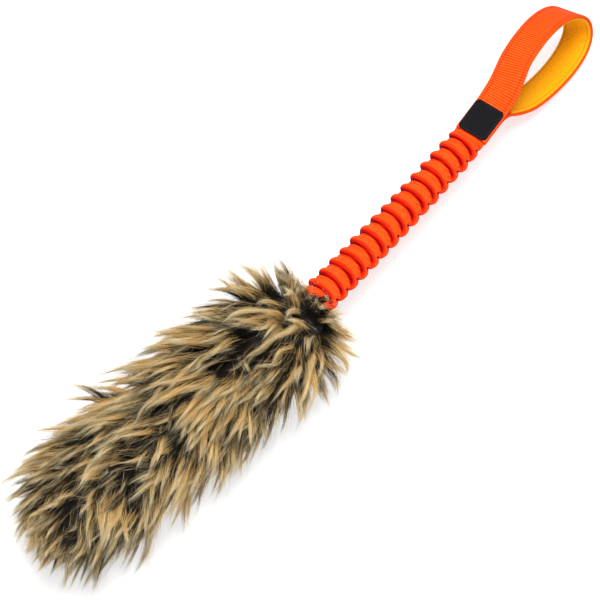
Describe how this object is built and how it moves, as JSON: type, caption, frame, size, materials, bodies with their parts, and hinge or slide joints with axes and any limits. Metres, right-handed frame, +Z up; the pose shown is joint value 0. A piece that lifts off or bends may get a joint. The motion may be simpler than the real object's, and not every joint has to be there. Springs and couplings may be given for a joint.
{
  "type": "dog tug toy",
  "caption": "Tug toy for dogs: a stuffed faux fur body, an elastic bungee in a gathered webbing sleeve, and a lined webbing hand loop.",
  "frame": {"origin": "centre of the bounding box's underside, on the floor that the toy lies on", "axes": "+X from the fur body towards the hand loop, +Z up from the floor"},
  "size_m": [0.567, 0.1068, 0.0893],
  "materials": {
    "faux_fur": "long tan faux fur pile with charcoal roots",
    "fibre_fill": "loose polyester fibre",
    "grey_webbing": "plain woven tape",
    "elastic": "braided shock cord",
    "orange_webbing": "ribbed bright orange webbing",
    "yellow_webbing": "ribbed golden yellow webbing",
    "black_label": "satin black patch, bare"
  },
  "bodies": {
    "tug": {"fur_cover": "faux_fur", "stuffing": "fibre_fill", "core_strap": "grey_webbing"},
    "tongue": {"strap_tongue": "grey_webbing"},
    "bungee": {"elastic_cord": "elastic", "gathered_sleeve": "orange_webbing"},
    "grip": {"strap_front_end": "orange_webbing", "strap_back_end": "orange_webbing", "label": "black_label"},
    "loop": {"loop_strap": "orange_webbing", "loop_lining": "yellow_webbing"}
  },
  "joints": [
    {"name": "bungee_lift", "type": "hinge", "parent": "tug", "child": "tongue", "pos_m": [-0.03845, -0.01651, 0.041], "axis": [0, -1, 0], "range_deg": [0, 90], "deforming": ["strap_tongue", "gathered_sleeve", "elastic_cord"]},
    {"name": "bungee_swing", "type": "hinge", "parent": "tongue", "child": "bungee", "pos_m": [-0.03845, -0.01651, 0.041], "axis": [0, 0, 1], "range_deg": [-90, 90], "deforming": ["gathered_sleeve", "elastic_cord"]},
    {"name": "bungee_stretch", "type": "slide", "parent": "bungee", "child": "grip", "axis": [1, 0, 0], "range_m": [0, 0.12], "stiffness_N_per_m": 250, "deforming": ["gathered_sleeve", "elastic_cord"]},
    {"name": "loop_fold", "type": "hinge", "parent": "grip", "child": "loop", "pos_m": [0.17702, -0.01651, 0.03706], "axis": [0, -1, 0], "range_deg": [0, 70], "stiffness_Nm_per_rad": 0.05}
  ]
}
